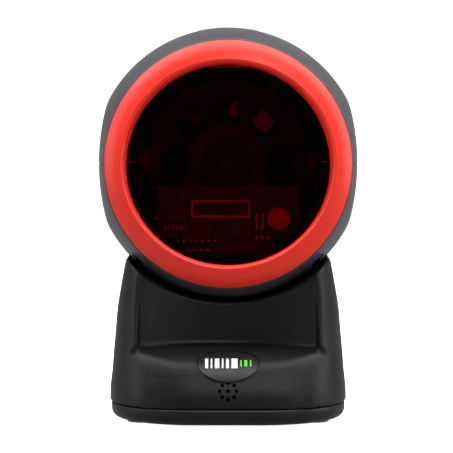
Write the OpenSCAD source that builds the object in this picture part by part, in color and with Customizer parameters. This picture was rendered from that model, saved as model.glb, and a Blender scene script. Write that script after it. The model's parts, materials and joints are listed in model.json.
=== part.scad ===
/* [Head] */
// Radius of the ball-shaped head
ball_r = 50.5; // [48:0.5:54]
// Half width of the ball over its flattened sides
side_half = 48.3; // [47:0.1:49]
// Radius of the shallow domes that flatten the ball's sides
side_dome_r = 82; // [70:1:100]
// Height of the ball's centre above the counter
ball_z = 94.5; // [93:0.5:96]
// Wall thickness of the ball shells
shell_t = 2.2; // [1.8:0.1:3]
// Outer radius of the red bezel
bezel_r = 45; // [44:0.1:45.2]
// Radius of the bezel's crest
crest_r = 39.2; // [39:0.1:40]
// Radius of the scan window
window_r = 38.6; // [38:0.1:38.8]
// Lean of the scan window, top edge deeper
window_lean = 4.5; // [2:0.5:6]

/* [Stand] */
// Half width of the stand at the base
base_a = 43.8; // [43:0.1:45]
// Depth of the base, front to back
base_d = 92; // [88:1:100]
// Height of the seam between stand shell and base cover
seam_z = 7; // [6:0.5:9]
// Wall thickness of the stand shell
stand_t = 2.4; // [2:0.1:3]
// Gap between the ball and its cradle
cradle_gap = 0.5; // [0.4:0.1:1]
// Half width of the scoop in front of the neck
scoop_a = 33; // [30:0.5:35]
// Radius of the scoop's hollow back wall
scoop_r = 80; // [70:5:120]
// How far back the top of the rounded toe begins
toe_y = -21; // [-23:0.5:-19]
// Length of the toe's rounded front
toe_a = 25; // [23:0.5:25]
// Rise of the toe's rounded front above the seam
toe_b = 21; // [18:0.5:22]

/* [Tilt] */
// Furthest that the head tips down, in degrees
tilt_down = 15; // [5:1:15]
// Furthest that the head tips up, in degrees
tilt_up = 25; // [5:1:25]
// Thickness of the yoke's sheet steel
yoke_t = 1.5; // [1:0.1:2]
// Radius of the pivot pins
pin_r = 3; // [2.5:0.1:3.5]
// Running clearance of pins and shaft, on the radius
run_gap = 0.04; // [0.02:0.01:0.08]

/* [Scan engine] */
// Facets of the spinning mirror
facets = 5; // [4:1:6]
// Radius of the spinning mirror over its corners
polygon_r = 11; // [9:0.5:12]
// Width of the fixed pattern mirrors
mirror_w = 10; // [9:0.5:10.5]

/* [Hidden] */
$fn = 96;
ball_y = base_d / 2 - ball_r;
hole_fn = 32;

// mouth of the ball, distances forward of the ball's centre
mouth_u = 22.3;
mouth_bore = 43.4;
groove = 0.4;
crest_u = 27.5;
plug_u = 17;
window_u = 22.3;
window_t = 2;

// yoke ears and pivots, distances from the middle plane
lug_in = 29.5;
lug_out = 31.5;
ear_in = 32;
ear_out = ear_in + yoke_t;
ear_w = 9;
eye_r = 6;
plate_z = ball_z - 59;

// scan engine, distances forward of the ball's centre
floor_u = -12;
floor_t = 2;
floor_r = 31;
post_r = 3;
arm_a = 1.8;
post_ring = 41.3;
post_angles = [60, 120, 240, 300];
board_u = 8;
board_t = 1.6;
mirror_ring = 19.5;
mirror_tilt = 40;
mirror_l = 13;
mirror_t = 1.8;
bush_r = 3;
shaft_r = 1;

// toe and badge
badge_a = 11.3;
badge_b = 8.3;
badge_turn = 50;
grille_turn = 20;
grille_ring = 3;
grille_hole = 0.7;

// base and top edge
buzzer_y = -33;
top_edge_z = 61.5;
floor_z = 3.4;
foot_t = 1.2;
board_z = 12;
jack_w = 15.2;
jack_z = 13.6;
jack_h = 13.4;
jack_back = 44.8;

// colours
satin_grey = [0.27, 0.28, 0.30];
stand_black = [0.14, 0.14, 0.16];
bezel_red = [0.90, 0.22, 0.17];
steel = [0.62, 0.63, 0.65];
board_green = [0.05, 0.26, 0.16];
mirror_blue = [0.55, 0.62, 0.72];
chip_black = [0.08, 0.08, 0.09];

// ---------- frames and helpers ----------

// children are placed about the ball's centre
module head() {
    translate([0, ball_y, ball_z]) children();
}

// children's Z axis points forward out of the ball, their Y axis points up
module forward() {
    head() rotate([90, 0, 0]) children();
}

// children's Z axis points out of the rounded toe, at an angle up its quarter ellipse
module on_toe(turn) {
    translate([0, toe_y - toe_a * cos(turn), seam_z + toe_b * sin(turn)])
        rotate([atan2(toe_b * cos(turn), toe_a * sin(turn)), 0, 0]) children();
}

// a layer of the rounded toe between two depths below its surface
module toe_layer(top, bottom) {
    translate([-50, 0, 0]) rotate([90, 0, 90]) linear_extrude(100)
        polygon(concat(toe_arc(top, [9:4:85]), toe_arc(bottom, [85:-4:9])));
}

function toe_arc(inset, turns) =
    [for (t = turns) [toe_y - (toe_a - inset) * cos(t), seam_z + (toe_b - inset) * sin(t)]];

module badge_prism(a, b) {
    on_toe(badge_turn) translate([0, 0, -4]) oval(a, b, 8);
}

module mirrored() {
    children();
    mirror([1, 0, 0]) children();
}

module block(x0, x1, y0, y1, z0, z1) {
    translate([x0, y0, z0]) cube([x1 - x0, y1 - y0, z1 - z0]);
}

module oval(a, b, h) {
    linear_extrude(h) polygon([for (t = [0:6:354]) [a * cos(t), b * sin(t)]]);
}

// wedge below the pivot axis between two angles from straight down, towards the back
module wedge(x0, x1, from, to) {
    reach = 80;
    translate([x0, 0, 0]) rotate([90, 0, 90]) linear_extrude(x1 - x0)
        polygon([[0, 0], [reach * sin(from), -reach * cos(from)],
                 [reach * sin(to), -reach * cos(to)]]);
}

// ---------- stand ----------

// each row: height, half width, front, back, front corner radius, back corner radius
stand_rows = [
    [seam_z, base_a, -46, 46, 32, 30],
    [11, base_a, -46, 46, 32, 30],
    [14, base_a - 0.2, -45.4, 45.9, 32, 30],
    [18, base_a - 0.8, -43.8, 45.7, 31, 30],
    [24, base_a - 1.1, -40.6, 45.3, 29, 30],
    [30, base_a - 1.7, -38.5, 44.9, 27, 30],
    [42, base_a - 2.7, -35.6, 44, 24, 30],
    [50, base_a - 4.2, -33.3, 43.2, 20, 30],
    [56, base_a - 5.2, -31.2, 42.4, 18, 29],
    [62, base_a - 6.6, -29, 41.4, 16, 28],
    [68, base_a - 8.4, -26.5, 40, 14, 26],
    [76, base_a - 11.6, -23, 38.5, 12, 24]
];

corner_steps = 8;

// one corner's arc: centre x and y, radius, first angle
function arc(x, y, r, from, z) =
    [for (i = [0:corner_steps]) let (t = from + 90 * i / corner_steps)
        [x + r * cos(t), y + r * sin(t), z]];

function stand_ring(row, inset, drop) = concat(
    arc(row[1] - row[4], row[2] + row[4], row[4] - inset, -90, row[0] - drop),
    arc(row[1] - row[5], row[3] - row[5], row[5] - inset, 0, row[0] - drop),
    arc(row[5] - row[1], row[3] - row[5], row[5] - inset, 90, row[0] - drop),
    arc(row[4] - row[1], row[2] + row[4], row[4] - inset, 180, row[0] - drop));

module stand_loft(inset, drop = 0) {
    n = 4 * (corner_steps + 1);
    last = len(stand_rows) - 1;
    points = [for (row = stand_rows) each stand_ring(row, inset, drop)];
    walls = [for (i = [0:last - 1], k = [0:n - 1]) let (next = (k + 1) % n, low = i * n, high = low + n)
        each [[low + k, high + k, high + next], [low + k, high + next, low + next]]];
    ends = [[for (k = [0:n - 1]) k], [for (k = [n - 1:-1:0]) last * n + k]];
    polyhedron(points, concat(walls, ends), convexity = 6);
}

// the space in front of the neck, above the toe, grown by some thickness
module scoop(grow) {
    wall_y = -20;
    intersection() {
        translate([0, wall_y - scoop_r, 0]) cylinder(r = scoop_r + grow, h = 90, $fn = 128);
        translate([0, 10, 0]) rotate([90, 0, 0]) linear_extrude(80)
            polygon([[-41 - grow, 4], [41 + grow, 4], [40 + grow, 12], [37 + grow, 20],
                     [scoop_a + grow, 28], [scoop_a + grow, 90], [-scoop_a - grow, 90],
                     [-scoop_a - grow, 28], [-37 - grow, 20], [-40 - grow, 12]]);
        translate([-50, 0, 0]) rotate([90, 0, 90]) linear_extrude(100)
            polygon(concat(
                [for (t = [0:6:90]) [toe_y - (toe_a - grow) * cos(t), seam_z + (toe_b - grow) * sin(t)]],
                [[30, seam_z + toe_b - grow], [30, 90], [-70, 90], [-70, seam_z]]));
    }
}

// everything above the stand's slanted top edge
module above_top_edge() {
    translate([0, -24, top_edge_z]) rotate([15, 0, 0]) translate([-60, -60, 0]) cube([120, 160, 60]);
}

module stand_shell() {
    color(stand_black) difference() {
        union() {
            difference() {
                stand_loft(0);
                difference() {
                    stand_loft(stand_t, 1);
                    head() sphere(ball_r + cradle_gap + stand_t);
                    scoop(stand_t);
                    above_cavity();
                }
            }
            cradle_bosses();
        }
        forward() cradle_hollow();
        scoop(0);
        above_top_edge();
        head() mirrored() block(ear_in - 0.6, ear_out + 0.6, -ear_w / 2 - 1, ear_w / 2 + 1, -60, 0);
        mirrored() block(ear_in - 0.6, ear_out + 0.6, -0.5, 14.6, plate_z - 0.5, plate_z + 20.5);
        cable_hole();
        intersection() {
            badge_prism(badge_a, badge_b);
            toe_layer(-4, 0.8);
        }
        on_toe(grille_turn) grille_holes();
        block(-jack_w / 2 - 0.2, jack_w / 2 + 0.2, 38, 60, jack_z - 0.2, jack_z + jack_h + 0.2);
        yoke_screw_places() translate([0, 0, plate_z]) cylinder(r = 1.3, h = 9, $fn = hole_fn);
    }
}

// room for the ball, open to the front
module cradle_hollow() {
    r = ball_r + cradle_gap;
    rotate_extrude() polygon(concat([for (t = [-90:5:0]) [r * cos(t), r * sin(t)]], [[r, 60], [0, 60]]));
}

// closes the cavity under the slanted top edge
module above_cavity() {
    translate([0, -24, top_edge_z - stand_t]) rotate([15, 0, 0]) translate([-60, -60, 0])
        cube([120, 160, 60]);
}

module yoke_screw_places() {
    mirrored() translate([18, 6, 0]) children();
}

module cradle_bosses() {
    yoke_screw_places() translate([0, 0, plate_z + yoke_t]) cylinder(r = 3.2, h = 9, $fn = hole_fn);
}

module cable_hole() {
    translate([0, 8, plate_z]) cylinder(r = 4.5, h = 16, $fn = hole_fn);
}

module grille_holes() {
    translate([0, 0, -6]) cylinder(r = grille_hole, h = 8, $fn = 24);
    for (k = [0:7]) rotate([0, 0, 45 * k]) translate([grille_ring, 0, -6])
        cylinder(r = grille_hole, h = 8, $fn = 24);
}

module base_outline(inset) {
    row = stand_rows[0];
    hull() mirrored() {
        translate([row[1] - row[4], row[2] + row[4]]) circle(row[4] - inset, $fn = 64);
        translate([row[1] - row[5], row[3] - row[5]]) circle(row[5] - inset, $fn = 64);
    }
}

module base_cover() {
    color(stand_black) difference() {
        union() {
            difference() {
                union() {
                    translate([0, 0, foot_t + 1.8]) linear_extrude(seam_z - foot_t - 1.8)
                        base_outline(0.5);
                    translate([0, 0, foot_t]) linear_extrude(1.8) base_outline(2.4);
                }
                translate([0, 0, floor_z]) linear_extrude(10) base_outline(0.5 + stand_t);
            }
            board_posts() cylinder(r = 2.6, h = board_z - floor_z);
            translate([0, buzzer_y, floor_z]) cylinder(r = 4.5, h = 4.6);
            base_screw_places() cylinder(r = 4, h = seam_z - floor_z);
        }
        base_screw_places() translate([0, 0, -5]) cylinder(r = 1.6, h = 20);
        base_screw_places() translate([0, 0, foot_t - floor_z - 1]) cylinder(r = 3, h = 3.2);
        foot_places() translate([0, 0, foot_t - 1]) cylinder(r = 6, h = 1.6);
    }
}

module board_posts() {
    for (y = [-10, 26]) mirrored() translate([31, y, floor_z]) children();
}

module base_screw_places() {
    mirrored() translate([24, -34, floor_z]) children();
    mirrored() translate([24, 36.5, floor_z]) children();
}

module foot_places() {
    mirrored() translate([31, -22, 0]) children();
    mirrored() translate([32, 25, 0]) children();
}

module ballast_plate() {
    color(steel) difference() {
        block(-27, 27, -22, 30, floor_z, floor_z + 3);
        mirrored() translate([22, -18, 0]) cylinder(r = 1.6, h = 20);
    }
}

module rubber_feet() {
    color([0.1, 0.1, 0.1]) foot_places() cylinder(r = 6, h = foot_t + 0.6);
}

module badge_plate() {
    color([0.05, 0.05, 0.06]) intersection() {
        badge_prism(badge_a - 0.1, badge_b - 0.1);
        toe_layer(0.3, 0.8);
    }
}

// plain stripes of mixed widths
module badge_bars() {
    widths = [1.1, 0.6, 1.6, 0.6, 1.1, 2.2, 0.6, 1.1, 0.6];
    starts = [for (i = 0, x = -8.3; i < len(widths); x = x + widths[i] + 0.9, i = i + 1) x];
    color([0.9, 0.92, 0.9]) intersection() {
        on_toe(badge_turn) for (i = [0:len(widths) - 1])
            translate([starts[i], -2.6, -4]) cube([widths[i], 5.2, 8]);
        toe_layer(0.08, 0.3);
    }
}

module buzzer() {
    color(chip_black) translate([0, buzzer_y, floor_z + 4.6]) difference() {
        cylinder(r = 6, h = 4.4);
        translate([0, 0, 3.4]) cylinder(r = 1, h = 2);
    }
}

module interface_board() {
    color(board_green) difference() {
        block(-34, 34, -13, 30, board_z, board_z + board_t);
        board_posts() cylinder(r = 1.2, h = 20);
    }
}

module interface_chips() {
    color(chip_black) {
        block(-24, -14, 4, 14, board_z + board_t, board_z + board_t + 1.6);
        block(14, 22, -4, 8, board_z + board_t, board_z + board_t + 1.4);
        translate([22, 20, board_z + board_t]) cylinder(r = 3, h = 7);
    }
}

module cable_socket() {
    color([0.12, 0.12, 0.13]) difference() {
        block(-jack_w / 2, jack_w / 2, 29, jack_back, jack_z, jack_z + jack_h);
        block(-5.9, 5.9, 32, 60, jack_z + 3.4, jack_z + 11.4);
        block(-2, 2, 32, 60, jack_z + 1.6, jack_z + 4);
    }
}

module socket_contacts() {
    pitch = 1.02;
    color([0.85, 0.66, 0.25]) for (i = [0:7])
        block(pitch * (i - 3.5) - 0.2, pitch * (i - 3.5) + 0.2, 32, 41, jack_z + 10.6, jack_z + 11.4);
}

module base_connector() {
    color([0.88, 0.86, 0.78]) block(-7, 7, 2, 8, board_z + board_t, board_z + board_t + 4.4);
}

module base_screws() {
    color(steel) base_screw_places() {
        translate([0, 0, -1.4]) cylinder(r = 2.8, h = 1.4);
        cylinder(r = 1.3, h = 9);
    }
}

module ear_profile() {
    foot_z = plate_z + 8;
    front = ball_y - ear_w / 2;
    back = ball_y + ear_w / 2;
    translate([ball_y, ball_z]) circle(eye_r);
    polygon([[front, ball_z], [back, ball_z], [back, foot_z + 12], [14, foot_z], [14, plate_z],
             [-3, plate_z], [-3, foot_z], [front, foot_z + 10]]);
}

module yoke_bracket() {
    color(steel) difference() {
        union() {
            mirrored() translate([ear_in, 0, 0]) rotate([90, 0, 90]) linear_extrude(yoke_t)
                ear_profile();
            block(-ear_in, ear_in, -3, 14, plate_z, plate_z + yoke_t);
        }
        head() translate([-60, 0, 0]) rotate([0, 90, 0]) cylinder(r = pin_r + run_gap, h = 120);
        yoke_screw_places() translate([0, 0, plate_z - 10]) cylinder(r = 1.6, h = 20);
        translate([0, 8, plate_z - 10]) cylinder(r = 4.5, h = 20);
    }
}

module yoke_screws() {
    color(steel) yoke_screw_places() {
        translate([0, 0, plate_z - 2]) cylinder(r = 2.8, h = 2);
        translate([0, 0, plate_z]) cylinder(r = 1.25, h = 7.5);
    }
}

// ---------- cable between stand and head ----------

cable_r = 1.6;
cable_route = [[6, 18.2], [6.5, 23], [7.5, 29], [8, 35], [8, 41], [8, 47], [7.5, 52], [5.5, 57], [1.5, 61.3],
               [-3.5, 63.7], [-7.95, 64.2]];

// one point on a smooth curve through four route points
function smooth(a, b, c, d, t) =
    0.5 * (2 * b + t * (c - a) + t * t * (2 * a - 5 * b + 4 * c - d)
    + t * t * t * (3 * b - a - 3 * c + d));
function clamp_at(i) = cable_route[max(0, min(len(cable_route) - 1, i))];
cable_steps = 3;
cable_path = [
    for (i = [0:len(cable_route) - 2], s = [0:cable_steps - 1])
        smooth(clamp_at(i - 1), clamp_at(i), clamp_at(i + 1), clamp_at(i + 2), s / cable_steps),
    cable_route[len(cable_route) - 1]
];

module head_cable() {
    sides = 10;
    n = len(cable_path);
    points = [for (i = [0:n - 1]) let (
        ahead = cable_path[min(n - 1, i + 1)] - cable_path[max(0, i - 1)],
        along = ahead / norm(ahead),
        across = [along[1], -along[0]])
        for (k = [0:sides - 1]) let (t = 360 * k / sides)
            [cable_r * cos(t), cable_path[i][0] + cable_r * sin(t) * across[0],
             cable_path[i][1] + cable_r * sin(t) * across[1]]];
    walls = [for (i = [0:n - 2], k = [0:sides - 1]) let (next = (k + 1) % sides)
        [i * sides + k, (i + 1) * sides + k, (i + 1) * sides + next, i * sides + next]];
    ends = [[for (k = [0:sides - 1]) k], [for (k = [sides - 1:-1:0]) (n - 1) * sides + k]];
    color([0.1, 0.1, 0.11]) polyhedron(points, concat(walls, ends), convexity = 4);
}

// ---------- head casing ----------

// half outline of the ball about its Y axis, flattened by a shallow dome on each side
module ball_profile(r, side) {
    intersection() {
        circle(r);
        translate([0, side - side_dome_r]) circle(side_dome_r, $fn = 180);
        translate([0, side_dome_r - side]) circle(side_dome_r, $fn = 180);
        translate([0, -100]) square([100, 200]);
    }
}

module ball_core() {
    rotate([0, 90, 0]) rotate_extrude() ball_profile(ball_r - shell_t / 2, side_half - shell_t / 2);
}

module ball_skin() {
    difference() {
        rotate([0, 90, 0]) rotate_extrude() difference() {
            ball_profile(ball_r, side_half);
            ball_profile(ball_r - shell_t, side_half - shell_t);
        }
        rotate([90, 0, 0]) translate([0, 0, mouth_u]) cylinder(r = 70, h = 60);
        rotate([90, 0, 0]) translate([0, 0, 12]) cylinder(r = mouth_bore, h = 60);
    }
}

module shell_boss_places() {
    mirrored() translate([22, 26, 0]) children();
}

module head_upper_shell() {
    color(satin_grey) head() difference() {
        union() {
            intersection() {
                ball_skin();
                block(-60, 60, -60, 60, 0, 60);
            }
            intersection() {
                ball_core();
                union() {
                    shell_boss_places() cylinder(r = 3.6, h = 40);
                    mirrored() block(12.5, 14, -3, 3, 42.5, 60);
                }
            }
        }
        shell_boss_places() translate([0, 0, -1]) cylinder(r = 1.25, h = 11);
        lens_outline(0);
    }
}

module head_lower_shell() {
    color(satin_grey) head() difference() {
        union() {
            intersection() {
                ball_skin();
                block(-60, 60, -60, 60, -60, 0);
            }
            intersection() {
                ball_core();
                shell_boss_places() translate([0, 0, -40]) cylinder(r = 3.6, h = 40);
            }
        }
        shell_boss_places() translate([0, 0, -60]) cylinder(r = 2.6, h = 50);
        shell_boss_places() translate([0, 0, -11]) cylinder(r = 1.5, h = 20);
        mirrored() wedge(ear_in - 0.6, ear_out + 0.6, -tilt_down - 8.5, tilt_up + 8.5);
        wedge(-5, 5, -6, 50);
    }
}

module shell_screws() {
    color(steel) head() shell_boss_places() {
        translate([0, 0, -12]) cylinder(r = 2.3, h = 2);
        translate([0, 0, -10]) cylinder(r = 1.2, h = 18);
    }
}

module bezel_ring() {
    bow = 0.7;
    face = [for (t = [0:0.1:1]) [
        bezel_r + (crest_r - bezel_r) * t + bow * sin(180 * t) * 0.7,
        mouth_u + groove + 0.4 + (crest_u - mouth_u - groove - 0.4) * t + bow * sin(180 * t) * 0.7]];
    inner = [[crest_r - 0.5, crest_u - 0.2], [38, crest_u - 1.5], [36.6, crest_u - 3], [35.5, plug_u],
             [mouth_bore, plug_u],
             [mouth_bore, mouth_u + groove], [bezel_r, mouth_u + groove]];
    color(bezel_red) forward() difference() {
        rotate_extrude() polygon(concat(face, inner));
        window_tilt() translate([0, 0, -20]) cylinder(r = window_r + 0.05, h = 20);
        for (a = post_angles) rotate([0, 0, a]) translate([post_ring, 0, plug_u - 1])
            cylinder(r = 1.1, h = 4.2, $fn = hole_fn);
    }
}

// children's Z = 0 is the window's front face
module window_tilt() {
    translate([0, 0, window_u]) rotate([-window_lean, 0, 0]) children();
}

module scan_window() {
    color([0.25, 0.01, 0.02]) forward() window_tilt() translate([0, 0, -window_t])
        cylinder(r = window_r, h = window_t);
}

module window_gasket() {
    color(chip_black) forward() window_tilt() translate([0, 0, -window_t - 1]) difference() {
        cylinder(r = window_r, h = 1);
        translate([0, 0, -1]) cylinder(r = window_r - 2.4, h = 3);
    }
}

// upright slot on the ball's crown
module lens_outline(inset) {
    half_l = 11.2 - inset;
    half_w = 2.6 - inset;
    translate([0, 0, 40]) {
        block(-half_l + half_w, half_l - half_w, -half_w, half_w, 0, 20);
        mirrored() translate([half_l - half_w, 0, 0]) cylinder(r = half_w, h = 20);
    }
}

module indicator_lens() {
    color([0.75, 0.78, 0.82]) head() intersection() {
        lens_outline(0);
        difference() {
            sphere(ball_r + 0.6);
            sphere(ball_r - shell_t);
        }
    }
}

module indicator_board() {
    color(board_green) head() block(-12.5, 12.5, -3, 3, 43, 44);
}

module indicator_leds() {
    color([0.2, 0.6, 0.95]) head() for (x = [-7, 0, 7]) translate([x, 0, 44]) cylinder(r = 1.2, h = 2);
}

// ---------- scan engine ----------

// places a fixed mirror by its angle round the spinner, front edge further out
module mirror_place(angle) {
    forward() rotate([0, 0, angle]) translate([mirror_ring, 0, -2]) rotate([0, mirror_tilt, 0])
        children();
}

module pattern_mirror(angle) {
    color(mirror_blue) mirror_place(angle) translate([0, -mirror_w / 2, -mirror_l / 2])
        cube([mirror_t, mirror_w, mirror_l]);
}

mirror_angles = [0, 45, 90, 135, 180];

module optical_chassis() {
    color([0.16, 0.16, 0.17]) {
        difference() {
            union() {
                forward() translate([0, 0, floor_u - floor_t]) cylinder(r = floor_r, h = floor_t);
                forward() for (a = post_angles) rotate([0, 0, a])
                    block(25, post_ring, -arm_a, arm_a, floor_u - floor_t, floor_u);
                forward() for (a = post_angles) rotate([0, 0, a])
                    translate([post_ring, 0, floor_u - floor_t])
                    cylinder(r = post_r, h = plug_u - floor_u + floor_t);
                forward() standoff_places() translate([0, 0, -1]) cylinder(r = 2, h = board_u - floor_u + 1);
                head() mirrored() lug();
            }
            forward() translate([0, 0, floor_u - 5]) cylinder(r = bush_r, h = 20);
            forward() for (a = post_angles) rotate([0, 0, a])
                translate([post_ring, 0, floor_u - 5]) cylinder(r = 2.2, h = 9 - floor_u + 5);
            forward() for (a = post_angles) rotate([0, 0, a])
                translate([post_ring, 0, 0]) cylinder(r = 1.15, h = 30);
            head() translate([-60, 0, 0]) rotate([0, 90, 0]) cylinder(r = 1.7, h = 120);
        }
    }
}

// wedge-like backs that hold the fixed mirrors on the chassis floor
module mirror_brackets() {
    color([0.16, 0.16, 0.17]) for (a = mirror_angles) intersection() {
        mirror_place(a) translate([mirror_t, -mirror_w / 2 + 1, -mirror_l / 2 - 6])
            cube([3, mirror_w - 2, mirror_l + 6]);
        forward() translate([-40, -40, floor_u]) cube([80, 80, 30]);
    }
}

module lug() {
    translate([lug_in, 0, 0]) rotate([0, 90, 0]) cylinder(r = 6, h = lug_out - lug_in);
    block(lug_in, lug_out, 0, -floor_u + floor_t, -5.2, 5.2);
}

module standoff_places() {
    mirrored() translate([22.5, -11.2, floor_u]) children();
    mirrored() translate([10, -26.5, floor_u]) children();
}

module chassis_screws() {
    color(steel) forward() for (a = post_angles) rotate([0, 0, a]) translate([post_ring, 0, 0]) {
        translate([0, 0, 7]) cylinder(r = 2.1, h = 2);
        translate([0, 0, 9]) cylinder(r = 1.1, h = 11);
    }
}

module collector_mirror() {
    color(mirror_blue) forward() translate([0, -21.4, -6]) rotate([-25, 0, 0]) difference() {
        block(-7, 7, -6, 6, -3, 0);
        translate([0, 0, 30]) sphere(r = 30.8);
    }
}

module fold_mirror() {
    color(mirror_blue) forward() translate([-12, -22, -4]) rotate([0, 45, 0])
        block(-3, 3, -1.8, 3.5, -0.6, 0.6);
}

module laser_holder() {
    color([0.7, 0.68, 0.5]) forward() difference() {
        block(-27, -18, -28, -16.6, floor_u, 2);
        translate([-30, -22.2, -4]) rotate([0, 90, 0]) cylinder(r = 4.5, h = 30);
    }
}

module laser_barrel() {
    color([0.8, 0.65, 0.35]) forward() translate([-27.5, -22.2, -4]) rotate([0, 90, 0]) difference() {
        cylinder(r = 4.5, h = 11.5);
        translate([0, 0, 9.5]) cylinder(r = 3, h = 5);
    }
}

module laser_lens() {
    color([0.6, 0.75, 0.85]) forward() translate([-18, -22.2, -4]) rotate([0, 90, 0])
        cylinder(r = 3, h = 1.4);
}

module photodiode_board() {
    color(board_green) forward() block(-7, 7, -28, -16.5, 3.4, 4.6);
}

module photodiode() {
    color(chip_black) forward() block(-2.5, 2.5, -25, -20, 1.6, 3.4);
}

module main_board() {
    color([0.03, 0.16, 0.11]) forward() difference() {
        union() {
            block(-26, 26, -26, -8.4, board_u, board_u + board_t);
            block(-17, 17, -34.5, -26, board_u, board_u + board_t);
        }
        standoff_places() cylinder(r = 1.1, h = 40);
    }
}

module board_chips() {
    front = board_u + board_t;
    color(chip_black) forward() {
        block(-22, -16, -21, -16, front, front + 1.4);
        block(-12, -6, -27, -22, front, front + 1.4);
        block(1, 7.5, -27, -21.6, front, front + 1.2);
        block(-4, 9, -33, -29.5, front, front + 1.6);
    }
}

// pin strips, a row of headers and small surface-mounted parts
module board_capacitors() {
    front = board_u + board_t;
    color([0.65, 0.55, 0.4]) forward() {
        for (x = [10.2, 12.4]) block(x, x + 0.7, -24.4, -18.5, front, front + 2.4);
        for (x = [10.5, 12.7, 14.9]) translate([x, -27.4, front]) cylinder(r = 0.6, h = 1.6);
        for (i = [0:6]) block(-19 + 2.3 * i, -18.2 + 2.3 * i, -29, -28.2, front, front + 0.8);
        for (i = [0:3]) block(-16 + 2.6 * i, -14.4 + 2.6 * i, -32.4, -31.6, front, front + 1);
        for (i = [0:4]) block(-23.6 + 1.5 * i, -23 + 1.5 * i, -24.6, -23.2, front, front + 0.7);
    }
}

// cable header behind the board and a long open module frame in front of it
module board_connector() {
    front = board_u + board_t;
    color([0.85, 0.83, 0.76]) forward() {
        block(-6, 6, -31, -28.6, board_u - 4.5, board_u);
        difference() {
            block(-13.6, 8, -20, -13.6, front, front + 2);
            block(-13, 7.4, -19.2, -14.2, front - 1, front + 5);
        }
    }
}

module trim_potentiometer() {
    front = board_u + board_t;
    color([0.75, 0.75, 0.78]) forward() translate([18.6, -20.4, front]) difference() {
        union() {
            cylinder(r = 2.9, h = 4.2);
            cylinder(r = 4.2, h = 2, $fn = 12);
        }
        for (turn = [0, 60, 120]) rotate([0, 0, turn]) block(-2.5, 2.5, -0.35, 0.35, 3.4, 6);
    }
}

// ---------- spinner and motor ----------

module motor_can() {
    color(steel) forward() difference() {
        translate([0, 0, -26]) cylinder(r = 10, h = 26 + floor_u - floor_t);
        translate([0, 0, -24.5]) cylinder(r = 8.8, h = 30);
        translate([0, 0, -30]) cylinder(r = 1.6, h = 10);
    }
}

module motor_stator() {
    color([0.72, 0.42, 0.2]) forward() translate([0, 0, -23]) difference() {
        cylinder(r = 8.8, h = 8);
        translate([0, 0, -1]) cylinder(r = 5.2, h = 12);
    }
}

module motor_bearings() {
    color([0.75, 0.6, 0.3]) forward() for (span = [[-15.4, -9.4], [-24.5, -22.6]])
        translate([0, 0, span[0]]) difference() {
            cylinder(r = bush_r, h = span[1] - span[0]);
            translate([0, 0, -1]) cylinder(r = shaft_r + run_gap, h = 10);
        }
}

module motor_shaft() {
    color(steel) forward() translate([0, 0, -24]) cylinder(r = shaft_r, h = 27);
}

module rotor_magnet() {
    color([0.3, 0.3, 0.32]) forward() translate([0, 0, -21.6]) difference() {
        cylinder(r = 4.8, h = 5.6);
        translate([0, 0, -1]) cylinder(r = shaft_r, h = 10);
    }
}

module rotor_hub() {
    color([0.8, 0.8, 0.82]) forward() difference() {
        union() {
            translate([0, 0, -9]) cylinder(r = 6, h = 2);
            translate([0, 0, -7]) cylinder(r = 2.2, h = 9);
        }
        translate([0, 0, -12]) cylinder(r = shaft_r, h = 20);
    }
}

module polygon_mirror() {
    color([0.82, 0.85, 0.9]) forward() translate([0, 0, -7]) difference() {
        cylinder(r = polygon_r, h = 8, $fn = facets);
        translate([0, 0, -1]) cylinder(r = 2.2, h = 12);
    }
}

// ---------- pivots ----------

module pivot_pins() {
    flange_in = ear_out + 0.1;
    color(steel) head() mirrored() rotate([0, 90, 0]) {
        translate([0, 0, lug_in]) cylinder(r = 1.7, h = lug_out - lug_in);
        translate([0, 0, lug_out]) cylinder(r = pin_r, h = flange_in - lug_out);
        translate([0, 0, flange_in]) cylinder(r = 4.8, h = 1.4);
    }
}

module pivot_washers() {
    color([0.9, 0.9, 0.85]) head() mirrored() translate([lug_out, 0, 0]) rotate([0, 90, 0]) difference() {
        cylinder(r = 5.5, h = 0.44);
        translate([0, 0, -1]) cylinder(r = pin_r, h = 3);
    }
}

stand_shell();
base_cover();
ballast_plate();
rubber_feet();
badge_plate();
badge_bars();
buzzer();
interface_board();
interface_chips();
cable_socket();
socket_contacts();
base_connector();
base_screws();
yoke_bracket();
yoke_screws();
head_cable();
head_upper_shell();
head_lower_shell();
shell_screws();
bezel_ring();
scan_window();
window_gasket();
indicator_lens();
indicator_board();
indicator_leds();
optical_chassis();
mirror_brackets();
chassis_screws();
pattern_mirror(mirror_angles[2]);  // mirror_top
pattern_mirror(mirror_angles[3]);  // mirror_upper_left
pattern_mirror(mirror_angles[1]);  // mirror_upper_right
pattern_mirror(mirror_angles[4]);  // mirror_left
pattern_mirror(mirror_angles[0]);  // mirror_right
collector_mirror();
fold_mirror();
laser_holder();
laser_barrel();
laser_lens();
photodiode_board();
photodiode();
main_board();
board_chips();
board_capacitors();
board_connector();
trim_potentiometer();
motor_can();
motor_stator();
motor_bearings();
pivot_pins();
pivot_washers();
polygon_mirror();
rotor_hub();
rotor_magnet();
motor_shaft();
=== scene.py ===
"""Counter barcode scanner: a ball head with a red-rimmed window that tilts in a weighted stand.

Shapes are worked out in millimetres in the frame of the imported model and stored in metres.
The front faces -Y and the head tips about the X axis through the ball's centre.
"""
import json
import math

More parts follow.
